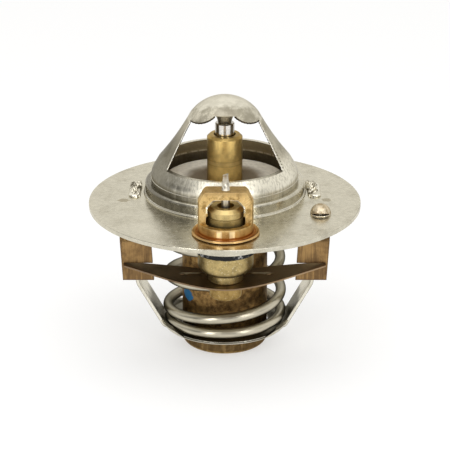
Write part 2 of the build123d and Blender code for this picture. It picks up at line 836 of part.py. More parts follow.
# Leaf spring: a bowed lens of sheet whose middle lifts the small valve's neck
leaf_mid_top = sub_neck_under - leaf_seat_gap
leaf_tip_top = -leaf_tip_depth
leaf_shoulder_top = leaf_tip_top - leaf_shoulder_drop
with BuildPart() as leaf_spring:
    with BuildSketch(sub_section):
        with BuildLine():
            Spline(
                (-leaf_tip_reach, leaf_tip_top - leaf_sheet / 2),
                (-leaf_shoulder_reach, leaf_shoulder_top - leaf_sheet / 2),
                (0, leaf_mid_top - leaf_sheet / 2),
                (leaf_shoulder_reach, leaf_shoulder_top - leaf_sheet / 2),
                (leaf_tip_reach, leaf_tip_top - leaf_sheet / 2),
            )
        trace(line_width=leaf_sheet)
    extrude(amount=leaf_half_width + leaf_sheet, both=True)
    with BuildSketch(Plane.XY.offset(-knee_depth)):
        with BuildLine():
            front_edge = Spline(
                (sub_axis_x - leaf_tip_reach, -sub_axis_front - leaf_tip_half_width),
                (sub_axis_x - leaf_mid_reach, -sub_axis_front - leaf_mid_half_width),
                (sub_axis_x, -sub_axis_front - leaf_half_width),
                (sub_axis_x + leaf_mid_reach, -sub_axis_front - leaf_mid_half_width),
                (sub_axis_x + leaf_tip_reach, -sub_axis_front - leaf_tip_half_width),
            )
            back_edge = Spline(
                (sub_axis_x - leaf_tip_reach, -sub_axis_front + leaf_tip_half_width),
                (sub_axis_x - leaf_mid_reach, -sub_axis_front + leaf_mid_half_width),
                (sub_axis_x, -sub_axis_front + leaf_half_width),
                (sub_axis_x + leaf_mid_reach, -sub_axis_front + leaf_mid_half_width),
                (sub_axis_x + leaf_tip_reach, -sub_axis_front + leaf_tip_half_width),
            )
            Line(front_edge @ 0, back_edge @ 0)
            Line(front_edge @ 1, back_edge @ 1)
        make_face()
    extrude(amount=knee_depth, mode=Mode.INTERSECT)
    with BuildSketch(Plane.XY.offset(-knee_depth)):
        with Locations(sub_centre):
            Circle(sub_cup_radius + leaf_hole_clearance)
    extrude(amount=knee_depth, mode=Mode.SUBTRACT)
write(leaf_spring, "leaf_spring")

# Brackets: folded bronze strips under the flange with a slot for the leaf spring's tip
bracket_front = sub_axis_front - bracket_setback
for side, name in ((-1, "spring_bracket_left"), (1, "spring_bracket_right")):
    with BuildPart() as bracket:
        with BuildSketch(Plane.YZ):
            with BuildLine():
                FilletPolyline(
                    (-bracket_front, -bracket_drop),
                    (-bracket_front, flange_under - bracket_sheet / 2),
                    (-bracket_front + bracket_foot_length, flange_under - bracket_sheet / 2),
                    radius=bracket_bend + bracket_sheet / 2,
                )
            trace(line_width=bracket_sheet)
        extrude(amount=side * flange_radius)
        with BuildSketch(Plane.XZ):
            with BuildLine():
                Polyline(
                    (side * bracket_inner, flange_under),
                    (side * bracket_outer, flange_under),
                    (side * (bracket_outer - bracket_lean), -bracket_drop),
                    (side * (bracket_inner - bracket_lean), -bracket_drop),
                    close=True,
                )
            make_face()
        extrude(amount=flange_radius, mode=Mode.INTERSECT)
        slot_mouth = bracket_inner - bracket_lean - bracket_sheet
        slot_end = leaf_tip_reach + abs(sub_axis_x) + slot_end_clearance
        slot_top = leaf_tip_top + slot_clearance
        with BuildSketch(Plane.XZ.offset(bracket_front)):
            with BuildLine():
                Polyline(
                    (side * slot_mouth, slot_top),
                    (side * slot_end, slot_top),
                    (side * slot_end, leaf_tip_top - leaf_sheet - slot_clearance),
                    (side * slot_mouth, leaf_shoulder_top - leaf_sheet - slot_clearance),
                    close=True,
                )
            make_face()
        extrude(amount=bracket_sheet, both=True, mode=Mode.SUBTRACT)
    write(bracket, name)

# Hood of the bleed valve: a pressed dome with a low arched mouth in front
with BuildPart() as bleed_hood:
    with BuildSketch(bleed_section):
        with BuildLine():
            ThreePointArc(
                (hood_radius, 0),
                (hood_radius * cos(pi / 4), hood_height * sin(pi / 4)),
                (0, hood_height),
            )
            Polyline((0, hood_height), (0, hood_height - hood_sheet))
            ThreePointArc(
                (0, hood_height - hood_sheet),
                (
                    (hood_radius - hood_sheet) * cos(pi / 4),
                    (hood_height - hood_sheet) * sin(pi / 4),
                ),
                (hood_radius - hood_sheet, 0),
            )
            Polyline((hood_radius - hood_sheet, 0), (hood_radius, 0))
        make_face()
    revolve(axis=bleed_axis)
    with BuildSketch(bleed_section):
        Ellipse(hood_mouth_half_width, hood_mouth_height)
    extrude(amount=hood_radius, mode=Mode.SUBTRACT)
write(bleed_hood, "bleed_hood")

# Ball that shuts the bleed hole
with BuildPart() as bleed_ball:
    ball_height = sqrt((ball_radius + ball_gap) ** 2 - bleed_hole_radius ** 2)
    with Locations((bleed_x, -bleed_front, ball_height)):
        Sphere(ball_radius)
write(bleed_ball, "bleed_ball")
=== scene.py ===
import bpy
import numpy as np
from math import cos, pi, radians, sin
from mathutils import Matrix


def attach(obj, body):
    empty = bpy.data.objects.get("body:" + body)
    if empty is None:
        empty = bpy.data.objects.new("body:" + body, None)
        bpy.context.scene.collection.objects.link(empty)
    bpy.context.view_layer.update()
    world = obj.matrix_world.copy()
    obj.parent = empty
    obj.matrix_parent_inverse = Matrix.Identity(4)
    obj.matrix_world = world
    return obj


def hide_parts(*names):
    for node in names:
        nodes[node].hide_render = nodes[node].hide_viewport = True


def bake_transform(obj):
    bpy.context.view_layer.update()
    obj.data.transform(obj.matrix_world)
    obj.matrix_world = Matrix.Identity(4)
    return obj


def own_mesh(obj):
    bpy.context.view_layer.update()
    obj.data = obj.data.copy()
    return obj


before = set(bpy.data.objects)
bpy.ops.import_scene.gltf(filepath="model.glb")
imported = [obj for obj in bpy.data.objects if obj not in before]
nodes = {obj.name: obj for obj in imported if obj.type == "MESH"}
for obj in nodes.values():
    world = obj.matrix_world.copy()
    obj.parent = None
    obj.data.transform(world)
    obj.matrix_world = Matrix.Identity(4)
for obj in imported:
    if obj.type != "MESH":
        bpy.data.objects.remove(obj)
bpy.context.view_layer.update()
MM = 0.001

# Axes of the two valves, levels that the new pieces sit on, and the half axes of the leaf's pressed arcs
MAIN_Y = 5.6 * MM
SUB_X, SUB_Y = 0.2 * MM, -21.4 * MM
CUP_FOOT = -38.4 * MM
PAN_FLOOR = -33.0 * MM
ARC_X, ARC_Y = 9.85 * MM, 2.9 * MM

VECTOR, FLOAT = "NodeSocketVector", "NodeSocketFloat"


# Node tools
def put(tree, kind, inputs=None, **settings):
    """Add a node, set its properties, then fill or link its inputs by name or number."""
    node = tree.nodes.new(kind)
    for key, value in settings.items():
        setattr(node, key, value)
    for key, value in (inputs or {}).items():
        if isinstance(value, bpy.types.NodeSocket):
            tree.links.new(value, node.inputs[key])
        else:
            node.inputs[key].default_value = value
    return node


def maths(tree, operation, first, second=0.0, clamp=False):
    """One Math node's result."""
    node = put(tree, "ShaderNodeMath", {0: first, 1: second}, operation=operation, use_clamp=clamp)
    return node.outputs[0]


def product(tree, *factors):
    """All factors multiplied together."""
    result = factors[0]
    for factor in factors[1:]:
        result = maths(tree, "MULTIPLY", result, factor)
    return result


def vector_maths(tree, operation, first, second=(0, 0, 0)):
    """One Vector Math node's result: a number for a length or a dot product, and otherwise a vector."""
    node = put(tree, "ShaderNodeVectorMath", {0: first, 1: second}, operation=operation)
    return node.outputs["Value" if operation in ("LENGTH", "DOT_PRODUCT") else "Vector"]


def xyz(tree, vector):
    """The three parts of a vector."""
    return tuple(put(tree, "ShaderNodeSeparateXYZ", {0: vector}).outputs)


def ramp_between(tree, value, low, high, out_low=0.0, out_high=1.0):
    """Smooth step of value between low and high."""
    limits = {0: value, 1: low, 2: high, 3: out_low, 4: out_high}
    return put(tree, "ShaderNodeMapRange", limits, interpolation_type="SMOOTHSTEP").outputs[0]


def plain_noise(tree, where, scale, detail):
    """Noise from 0 to 1, with its scale in waves per metre."""
    return put(tree, "ShaderNodeTexNoise", {"Vector": where, "Scale": scale, "Detail": detail}).outputs[0]


def blend_colours(tree, factor, first, second):
    """Colour that goes from first to second as factor goes from 0 to 1."""
    return put(tree, "ShaderNodeMix", {0: factor, 6: first, 7: second}, data_type="RGBA").outputs[2]


def tint(tree, colour, mask, strength, tone):
    """Colour that turns to a tone where the mask is 1, as far as the strength says."""
    return blend_colours(tree, product(tree, mask, strength), colour, (*tone, 1))


def new_group(name, inputs, output):
    """Shader group with named inputs and one output: gives its tree, its inputs, and its output's socket."""
    tree = bpy.data.node_groups.new(name, "ShaderNodeTree")
    for label, kind, value in inputs:
        socket = tree.interface.new_socket(label, in_out="INPUT", socket_type=kind)
        if value is not None:
            socket.default_value = value
    tree.interface.new_socket(output, in_out="OUTPUT", socket_type=FLOAT)
    return tree, tree.nodes.new("NodeGroupInput").outputs, tree.nodes.new("NodeGroupOutput").inputs[0]


def use_group(tree, group, **inputs):
    """Result of a shared group, placed in a material with that material's own values."""
    named = {label.replace("_", " "): value for label, value in inputs.items()}
    return put(tree, "ShaderNodeGroup", named, node_tree=group).outputs[0]


# Shared effects
def make_drawn_grain():
    """Fine grain of rolled or drawn metal: noise stretched along one direction."""
    tree, given, out = new_group(
        "drawn_grain", [("Vector", VECTOR, None), ("Stretch", VECTOR, (1.0, 1.0, 1.0))], "Height"
    )
    stretched = vector_maths(tree, "MULTIPLY", given[0], given[1])
    settings = {"Vector": stretched, "Scale": 1.0, "Detail": 5.0, "Roughness": 0.6}
    tree.links.new(put(tree, "ShaderNodeTexNoise", settings).outputs[0], out)
    return tree


def make_turned_rings():
    """Lathe marks: noise of the radius and height alone, so that it runs round the axis in rings."""
    tree, given, out = new_group(
        "turned_rings", [("Vector", VECTOR, None), ("Rings per metre", FLOAT, 4000.0)], "Height"
    )
    across, back, height = xyz(tree, given[0])
    squares = maths(tree, "ADD", product(tree, across, across), product(tree, back, back))
    radius = product(tree, maths(tree, "SQRT", squares), given[1])
    where = put(tree, "ShaderNodeCombineXYZ", {0: radius, 1: product(tree, height, given[1])}).outputs[0]
    tree.links.new(plain_noise(tree, where, 1.0, 2.0), out)
    return tree


def make_tarnish():
    """Cloudy stain mask: broad noise broken up by fine noise, cut between two levels."""
    tree, given, out = new_group(
        "tarnish",
        [("Vector", VECTOR, None), ("Scale", FLOAT, 150.0), ("Low", FLOAT, 0.4), ("High", FLOAT, 0.7)],
        "Mask",
    )
    broad = plain_noise(tree, given[0], given[1], 3.0)
    settings = {"Vector": given[0], "Scale": product(tree, given[1], 7.0), "Detail": 6.0, "Roughness": 0.7}
    fine = put(tree, "ShaderNodeTexNoise", settings).outputs[0]
    both = maths(tree, "ADD", product(tree, broad, 0.65), product(tree, fine, 0.35))
    tree.links.new(ramp_between(tree, both, given[2], given[3]), out)
    return tree


def make_edge_tint():
    """Mask of outer and inner edges: how far a rounded normal turns away from the true one."""
    tree, given, out = new_group(
        "edge_tint", [("Radius", FLOAT, 0.0002), ("Low", FLOAT, 0.02), ("High", FLOAT, 0.2)], "Mask"
    )
    rounded = put(tree, "ShaderNodeBevel", {"Radius": given[0]}, samples=6).outputs[0]
    normal = put(tree, "ShaderNodeNewGeometry").outputs["Normal"]
    turned = maths(tree, "SUBTRACT", 1.0, vector_maths(tree, "DOT_PRODUCT", rounded, normal))
    tree.links.new(put(tree, "ShaderNodeMapRange", {0: turned, 1: given[1], 2: given[2]}).outputs[0], out)
    return tree


def make_speckle():
    """Small pits or flecks: cell noise that is kept only where a cell is close to its centre."""
    tree, given, out = new_group(
        "speckle", [("Vector", VECTOR, None), ("Scale", FLOAT, 2500.0), ("Size", FLOAT, 0.25)], "Mask"
    )
    cells = put(tree, "ShaderNodeTexVoronoi", {"Vector": given[0], "Scale": given[1]}).outputs["Distance"]
    ragged = product(tree, plain_noise(tree, given[0], given[1], 2.0), 0.3)
    near = maths(tree, "ADD", cells, ragged)
    tree.links.new(put(tree, "ShaderNodeMapRange", {0: near, 1: given[2], 2: 0.0}).outputs[0], out)
    return tree


drawn_grain = make_drawn_grain()
turned_rings = make_turned_rings()
tarnish = make_tarnish()
edge_tint = make_edge_tint()
speckle = make_speckle()


# Masks that the marks are made of
def around_axis(tree, where):
    """Flat vector from the axis, its length, and how far it leans to the left (1) or right (-1)."""
    left = (-0.985, -0.17, 0)
    flat = vector_maths(tree, "MULTIPLY", where, (1, 1, 0))
    reach = vector_maths(tree, "LENGTH", flat)
    lean = vector_maths(tree, "DOT_PRODUCT", vector_maths(tree, "NORMALIZE", flat), left)
    return flat, reach, lean


def oval_reach(tree, where, centre, half):
    """Distance from an oval's centre, which is 1 on its outline, from centre and half sizes in metres."""
    shifted = vector_maths(tree, "SUBTRACT", where, centre)
    return vector_maths(tree, "LENGTH", vector_maths(tree, "DIVIDE", shifted, half))


def oval_mask(tree, where, centre, half, ragged=0.35):
    """1 inside an oval patch with a ragged outline."""
    reach = oval_reach(tree, where, centre, half)
    noise = maths(tree, "SUBTRACT", plain_noise(tree, where, 900.0, 3.0), 0.5)
    return ramp_between(tree, maths(tree, "ADD", reach, product(tree, noise, 2 * ragged)), 1.1, 0.85)


def distance_from(tree, value, level):
    """How far a value is from a level, either way."""
    return maths(tree, "ABSOLUTE", maths(tree, "SUBTRACT", value, level))


# Marks of single pieces, laid over their metal
def upright_streaks(tree, where, colour, rough, shader):
    """Dark upright rolling streaks, heavier towards the lower end."""
    fine = use_group(tree, drawn_grain, Vector=where, Stretch=(2300, 2300, 90))
    broad = use_group(tree, drawn_grain, Vector=where, Stretch=(420, 420, 130))
    both = maths(tree, "ADD", product(tree, fine, 0.55), product(tree, broad, 0.45))
    lift = ramp_between(tree, xyz(tree, where)[2], -11.8 * MM, -5.0 * MM, 0.08, 0.0)
    streaks = ramp_between(tree, maths(tree, "ADD", both, lift), 0.46, 0.62)
    return tint(tree, colour, streaks, 0.75, (0.12, 0.07, 0.035)), rough


def paint_dab(tree, where, colour, rough, shader):
    """Inspector's dab of blue paint on the left front of the wax cup."""
    dab = oval_mask(tree, where, (-8.9 * MM, 0.3 * MM, -24.6 * MM), (1.5 * MM, 3.0 * MM, 1.4 * MM))
    tree.links.new(maths(tree, "SUBTRACT", 1.0, dab), shader.inputs["Metallic"])
    rough = maths(tree, "MAXIMUM", rough, product(tree, dab, 0.5))
    return tint(tree, colour, dab, 1.0, (0.008, 0.13, 0.30)), rough


def cup_marks(tree, where, colour, rough, shader):
    """Gold streaks on the cup's brown foot, a painted highlight along its lower edge, painted shadow on the
    right, dark flecks and the paint dab.
    """
    across, back, height = xyz(tree, where)
    foot = ramp_between(tree, height, -33.0 * MM, -34.0 * MM)
    colour = tint(tree, colour, foot, 0.85, (0.14, 0.09, 0.04))
    streak = use_group(tree, drawn_grain, Vector=where, Stretch=(800, 800, 60))
    gold = product(tree, ramp_between(tree, streak, 0.52, 0.66), foot)
    colour = tint(tree, colour, gold, 0.45, (0.42, 0.28, 0.12))
    # Painted highlight along the foot's lower edge.
    lower_edge_highlight = ramp_between(tree, height, -37.2 * MM, -37.9 * MM)
    colour = tint(tree, colour, lower_edge_highlight, 0.6, (0.60, 0.40, 0.13))
    # Painted shadow on the right of the cup.
    right = ramp_between(tree, across, 1.0 * MM, 6.0 * MM)
    colour = tint(tree, colour, right, 0.35, (0.12, 0.07, 0.025))
    dark = use_group(tree, tarnish, Vector=where, Scale=900.0, Low=0.48, High=0.58)
    colour = tint(tree, colour, dark, 0.5, (0.07, 0.04, 0.016))
    return paint_dab(tree, where, colour, rough, shader)


def leaf_arcs(tree, where, colour, rough, shader):
    """Long pale grain, a paler right arm, and a thin bright pressed arc left and right of the neck."""
    across, back, height = xyz(tree, where)
    grain = use_group(tree, drawn_grain, Vector=where, Stretch=(160, 2600, 2600))
    colour = tint(tree, colour, ramp_between(tree, grain, 0.45, 0.66), 0.6, (0.27, 0.185, 0.10))
    right = ramp_between(tree, across, 4.0 * MM, 11.0 * MM)
    colour = tint(tree, colour, right, 0.6, (0.40, 0.29, 0.17))
    reach = vector_maths(tree, "LENGTH", vector_maths(tree, "MULTIPLY", where, (1 / ARC_X, 1 / ARC_Y, 0)))
    line = ramp_between(tree, distance_from(tree, reach, 1.0), 0.11, 0.05)
    beside = ramp_between(tree, maths(tree, "ABSOLUTE", across), 5.6 * MM, 6.6 * MM)
    behind = ramp_between(tree, back, 0.2 * MM, 0.8 * MM)
    return tint(tree, colour, product(tree, line, beside, behind), 0.9, (0.85, 0.78, 0.64)), rough


def flange_marks(tree, where, colour, rough, shader):
    """Painted dark reflection in streaks on the collar's left, a painted lighter patch on the left front,
    scratches, and an olive mark at each side.
    """
    flat, reach, lean = around_axis(tree, vector_maths(tree, "SUBTRACT", where, (0, MAIN_Y, 0)))
    # Painted dark reflection on the collar's left, broken up by streaks.
    streak = use_group(tree, drawn_grain, Vector=where, Stretch=(900, 900, 120))
    side = ramp_between(tree, maths(tree, "ADD", lean, product(tree, streak, 0.5)), 0.7, 1.2)
    collar = ramp_between(tree, xyz(tree, where)[2], 0.15 * MM, 0.5 * MM)
    colour = tint(tree, colour, product(tree, collar, side), 0.82, (0.11, 0.10, 0.08))
    # Painted lighter patch on the left front.
    painted_light_front = oval_reach(tree, where, (-12.5 * MM, -17.6 * MM, 0), (10.5 * MM, 7.0 * MM, 3.0 * MM))
    colour = tint(tree, colour, ramp_between(tree, painted_light_front, 1.3, 0.1), 0.5, (0.76, 0.72, 0.60))
    scratch_way = put(tree, "ShaderNodeMapping", {0: where, 2: (0, 0, radians(28))}).outputs[0]
    scratches = use_group(tree, drawn_grain, Vector=scratch_way, Stretch=(150, 5200, 900))
    colour = tint(tree, colour, ramp_between(tree, scratches, 0.64, 0.72), 0.5, (0.86, 0.84, 0.78))
    left = oval_mask(tree, where, (-23.8 * MM, -0.8 * MM, 0), (1.5 * MM, 1.2 * MM, 2 * MM), 0.6)
    right = oval_mask(tree, where, (23.9 * MM, -0.5 * MM, 0), (1.3 * MM, 1.0 * MM, 2 * MM), 0.6)
    return tint(tree, colour, maths(tree, "MAXIMUM", left, right), 0.6, (0.22, 0.17, 0.08)), rough


def highlight_band(tree, across, back, middle):
    """Mask of an upright band of painted highlight on the front of the cage's ring, at middle mm from its
    centre line.
    """
    band = ramp_between(tree, distance_from(tree, across, middle * MM), 0.75 * MM, 0.45 * MM)
    return product(tree, band, ramp_between(tree, back, -3.0 * MM, -5.0 * MM))


def copper_rim(tree, where, colour, rough, shader):
    """Orange painted shade on the ring with two upright bands of painted highlight, a copper rim whose lip is
    paler as a painted highlight, a scratched face and a darker top.
    """
    across, back, height = xyz(tree, where)
    orange, copper, lip = (0.46, 0.22, 0.06), (0.32, 0.115, 0.022), (0.66, 0.43, 0.17)
    # Painted shade: the ring's front turns orange.
    ring = ramp_between(tree, height, 2.9 * MM, 2.3 * MM)
    colour = tint(tree, colour, ring, 0.55, orange)
    # Painted highlights: two upright bands on the ring's front.
    bands = [highlight_band(tree, across, back, middle) for middle in (-1.45, 1.45)]
    painted_highlight = maths(tree, "ADD", *bands, clamp=True)
    colour = tint(tree, colour, painted_highlight, ring, (0.86, 0.66, 0.38))
    rim = ramp_between(tree, height, 1.2 * MM, 0.9 * MM)
    colour = tint(tree, colour, rim, 0.9, copper)
    # Painted highlight: the rim's outer lip is paler.
    outer = ramp_between(tree, around_axis(tree, where)[1], 6.9 * MM, 7.2 * MM)
    colour = tint(tree, colour, product(tree, outer, rim), 0.75, lip)
    tilted = put(tree, "ShaderNodeMapping", {0: where, 2: (0, radians(38), 0)}).outputs[0]
    scratch = use_group(tree, drawn_grain, Vector=tilted, Stretch=(420, 2600, 3600))
    face = ramp_between(tree, height, 3.0 * MM, 3.6 * MM)
    scratched = product(tree, ramp_between(tree, scratch, 0.56, 0.66), face)
    colour = tint(tree, colour, scratched, 0.6, (0.90, 0.70, 0.38))
    top = ramp_between(tree, height, 9.0 * MM, 10.2 * MM)
    return tint(tree, colour, top, 0.6, (0.44, 0.29, 0.12)), rough


def guide_lines(tree, where, colour, rough, shader):
    """Two fine turned lines round the main guide, with a paler band between them."""
    height = xyz(tree, where)[2]
    upper, lower, middle = 8.6 * MM, 7.5 * MM, 8.05 * MM
    for level in (upper, lower):
        line = ramp_between(tree, distance_from(tree, height, level), 0.2 * MM, 0.06 * MM)
        colour = tint(tree, colour, line, 0.25, (0.34, 0.21, 0.07))
    band = ramp_between(tree, distance_from(tree, height, middle), 0.4 * MM, 0.25 * MM)
    return tint(tree, colour, band, 0.2, (0.96, 0.74, 0.36)), rough


def leg_painted_shadow(tree, where, colour, rough, shader):
    """Painted shadow on the inner side of the legs beside the spring's lowest coil."""
    normal = put(tree, "ShaderNodeNewGeometry").outputs["Normal"]
    inner = ramp_between(tree, xyz(tree, normal)[2], 0.05, 0.2)
    ragged = product(tree, plain_noise(tree, where, 420.0, 4.0), 4.0 * MM)
    low = ramp_between(tree, maths(tree, "ADD", xyz(tree, where)[2], ragged), -23.0 * MM, -25.5 * MM)
    return tint(tree, colour, product(tree, low, inner), 0.85, (0.10, 0.09, 0.065)), rough


def olive_foot(tree, where, colour, rough, shader):
    """Olive stain on the small guide below its groove."""
    ragged = product(tree, plain_noise(tree, where, 700.0, 4.0), 1.2 * MM)
    low = ramp_between(tree, maths(tree, "ADD", xyz(tree, where)[2], ragged), 5.3 * MM, 4.7 * MM)
    rough = maths(tree, "ADD", rough, product(tree, low, 0.1))
    return tint(tree, colour, low, 0.6, (0.20, 0.16, 0.06)), rough


def dish_painted_shade(tree, where, colour, rough, shader):
    """Painted brown shade in the valve plate's dish round the guide."""
    ragged = product(tree, plain_noise(tree, where, 260.0, 3.0), 2.0 * MM)
    dish = ramp_between(tree, maths(tree, "ADD", around_axis(tree, where)[1], ragged), 12.0 * MM, 8.8 * MM)
    return tint(tree, colour, dish, 0.95, (0.16, 0.115, 0.055)), rough


def bridge_outside(tree, where, colour, lean, height, streak):
    """Painted highlight on the shoulder and cap, a mottled brow darkened by painted shade, specks, painted
    shade on the legs, brushed lines and a painted dark reflection on the left.
    """
    # Painted highlight on the shoulder and on the cap outside its brow.
    over_foot = ramp_between(tree, height, 4.4 * MM, 5.2 * MM)
    shoulder = product(tree, ramp_between(tree, height, 10.5 * MM, 8.5 * MM), over_foot)
    cap = ramp_between(tree, height, 18.0 * MM, 18.7 * MM)
    low = ramp_between(tree, height, 18.0 * MM, 11.0 * MM)
    brow = product(tree, oval_mask(tree, where, (0, 0, 18.7 * MM), (8.2 * MM, 1.0, 3.9 * MM), 0.18), cap)
    painted_highlight = maths(tree, "MAXIMUM", shoulder, maths(tree, "SUBTRACT", cap, brow, clamp=True))
    colour = tint(tree, colour, painted_highlight, 0.8, (0.88, 0.84, 0.71))
    # Mottle on the brow, darkened as painted shade.
    mottle = use_group(tree, tarnish, Vector=where, Scale=420.0, Low=0.42, High=0.6)
    colour = tint(tree, colour, product(tree, mottle, brow), 0.8, (0.30, 0.27, 0.20))
    colour = tint(tree, colour, product(tree, mottle, cap), 0.3, (0.45, 0.42, 0.33))
    specks = use_group(tree, speckle, Vector=where, Scale=1100.0, Size=0.3)
    colour = tint(tree, colour, product(tree, specks, cap), 0.5, (0.22, 0.19, 0.13))
    # Painted shade on the legs.
    legs = maths(tree, "SUBTRACT", ramp_between(tree, height, 9.5 * MM, 11.5 * MM), cap, clamp=True)
    colour = tint(tree, colour, legs, 0.35, (0.34, 0.31, 0.235))
    brushed = use_group(tree, drawn_grain, Vector=where, Stretch=(2300, 2300, 110))
    lined = product(tree, ramp_between(tree, brushed, 0.46, 0.62), low)
    colour = tint(tree, colour, lined, 0.5, (0.34, 0.31, 0.235))
    # Painted dark reflection on the left side, broken up by the streaks.
    side = ramp_between(tree, maths(tree, "ADD", lean, product(tree, streak, 0.4)), 0.82, 1.1)
    return tint(tree, colour, product(tree, side, low), 0.75, (0.15, 0.135, 0.10))


def bridge_inside(tree, colour, inside, height, streak):
    """Brown coating on the inner wall, darkened by painted shade towards its foot, with a painted highlight
    on a pale bead just above the foot.
    """
    dark, pale = (0.085, 0.065, 0.036, 1), (0.33, 0.26, 0.15, 1)
    # Painted shade: the brown coating darkens towards the foot of the inner wall.
    film_and_shade = blend_colours(tree, ramp_between(tree, height, 4.2 * MM, 5.4 * MM), dark, pale)
    colour = blend_colours(tree, product(tree, inside, 0.9), colour, film_and_shade)
    # Painted highlight on the bead, broken up by the grain.
    bead = ramp_between(tree, distance_from(tree, height, 4.85 * MM), 0.3 * MM, 0.12 * MM)
    wear_and_sheen = ramp_between(tree, streak, 0.35, 0.55)
    return tint(tree, colour, product(tree, bead, inside), wear_and_sheen, (0.62, 0.55, 0.42))


def bridge_marks_and_light(tree, where, colour, rough, shader):
    """Marks, painted highlights and painted shade outside and inside the bridge, and a rougher boss darkened
    by painted shade in front of the cap.
    """
    flat, reach, lean = around_axis(tree, where)
    height = xyz(tree, where)[2]
    streak = use_group(tree, drawn_grain, Vector=where, Stretch=(1100, 1100, 60))
    colour = bridge_outside(tree, where, colour, lean, height, streak)
    normal = put(tree, "ShaderNodeNewGeometry").outputs["Normal"]
    facing = vector_maths(tree, "DOT_PRODUCT", normal, flat)
    below = ramp_between(tree, height, 14.0 * MM, 9.0 * MM)
    inside = product(tree, ramp_between(tree, facing, -2.0 * MM, -4.0 * MM), below)
    colour = bridge_inside(tree, colour, inside, height, streak)
    # The boss is rougher and darkened by painted shade.
    boss = oval_mask(tree, where, (0, -6.5 * MM, 21.0 * MM), (2.6 * MM, 2.4 * MM, 1.9 * MM), 0.3)
    colour = tint(tree, colour, boss, 0.55, (0.32, 0.29, 0.23))
    rough = maths(tree, "ADD", rough, product(tree, boss, 0.12))
    return colour, maths(tree, "ADD", rough, product(tree, inside, 0.15))


# Finishes
def metal(
    name, clean, stained, roughness, grain=(900, 900, 900), centre=(0, 0, 0), stain=(150.0, 0.45, 0.75),
    rings=0.0, bump=0.05, edge=None, edge_radius=0.25, flecks=None, overlay=None, metallic=1.0, tone=0.6,
    grazing_shade=0.0,
):
    """Metal whose colour, roughness and relief come from stains, grain, lathe rings, flecks, painted shade
    towards grazing angles, and a colour painted along edges that is a painted highlight where pale and
    painted shade where dark.

    Grain and rings are in waves per metre, stain is a scale with the two levels that it is cut between,
    flecks are a scale, a size and a colour, and bump and edge_radius are in millimetres.
    """
    material = bpy.data.materials.new(name)
    material.use_nodes = True
    tree = material.node_tree
    shader = tree.nodes["Principled BSDF"]
    shader.inputs["Metallic"].default_value = metallic
    shader.inputs["Specular Tint"].default_value = (tone, tone * 0.98, tone * 0.92, 1)
    place = put(tree, "ShaderNodeTexCoord").outputs["Object"]
    where = put(tree, "ShaderNodeMapping", {0: place, 1: tuple(-c for c in centre)}).outputs[0]
    height = use_group(tree, drawn_grain, Vector=where, Stretch=grain)
    cloud = use_group(tree, tarnish, Vector=where, Scale=stain[0], Low=stain[1], High=stain[2])
    shade = ramp_between(tree, height, 0.3, 0.7, 0.88, 1.08)
    colour = vector_maths(tree, "MULTIPLY", blend_colours(tree, cloud, (*clean, 1), (*stained, 1)), shade)
    grain_rough = ramp_between(tree, height, 0.3, 0.7, roughness - 0.05, roughness + 0.06)
    rough = maths(tree, "ADD", grain_rough, product(tree, cloud, 0.08))
    relief = height
    if rings:
        turned = use_group(tree, turned_rings, Vector=where, Rings_per_metre=rings)
        relief = maths(tree, "ADD", relief, product(tree, turned, 2.0))
    if flecks:
        spots = use_group(tree, speckle, Vector=where, Scale=flecks[0], Size=flecks[1])
        colour = tint(tree, colour, spots, 1.0, flecks[2])
        relief = maths(tree, "SUBTRACT", relief, spots)
    # Painted shade: the colour darkens towards grazing angles.
    if grazing_shade:
        facing = put(tree, "ShaderNodeLayerWeight", {0: 0.5}).outputs["Facing"]
        colour = tint(tree, colour, ramp_between(tree, facing, 0.35, 0.95), grazing_shade, (0.05, 0.045, 0.035))
    if overlay:
        colour, rough = overlay(tree, where, colour, rough, shader)
    # Colour painted along edges: a pale edge colour is a painted highlight, a dark one is painted shade.
    if edge:
        colour = tint(tree, colour, use_group(tree, edge_tint, Radius=edge_radius * MM), 1.0, edge)
    tree.links.new(colour, shader.inputs["Base Color"])
    tree.links.new(rough, shader.inputs["Roughness"])
    pressed = put(tree, "ShaderNodeBump", {"Strength": 1.0, "Distance": bump * MM, "Height": relief})
    tree.links.new(pressed.outputs[0], shader.inputs["Normal"])
    return material


def soft_finish(name, colour, wear_and_sheen, roughness, fleck_scale=1800.0, fleck_size=0.35, bump=0.05):
    """Rubber or wax: a matt colour with pale flecks of wear and a faint uneven surface."""
    material = bpy.data.materials.new(name)
    material.use_nodes = True
    tree = material.node_tree
    shader = tree.nodes["Principled BSDF"]
    shader.inputs["Roughness"].default_value = roughness
    shader.inputs["Specular IOR Level"].default_value = 0.25
    place = put(tree, "ShaderNodeTexCoord").outputs["Object"]
    spots = use_group(tree, speckle, Vector=place, Scale=fleck_scale, Size=fleck_size)
    cloud = use_group(tree, tarnish, Vector=place, Scale=400.0, Low=0.47, High=0.57)
    tree.links.new(tint(tree, (*colour, 1), spots, cloud, wear_and_sheen), shader.inputs["Base Color"])
    skin = use_group(tree, drawn_grain, Vector=place, Stretch=(2500, 2500, 2500))
    pressed = put(tree, "ShaderNodeBump", {"Strength": 1.0, "Distance": bump * MM, "Height": skin})
    tree.links.new(pressed.outputs[0], shader.inputs["Normal"])
    return material


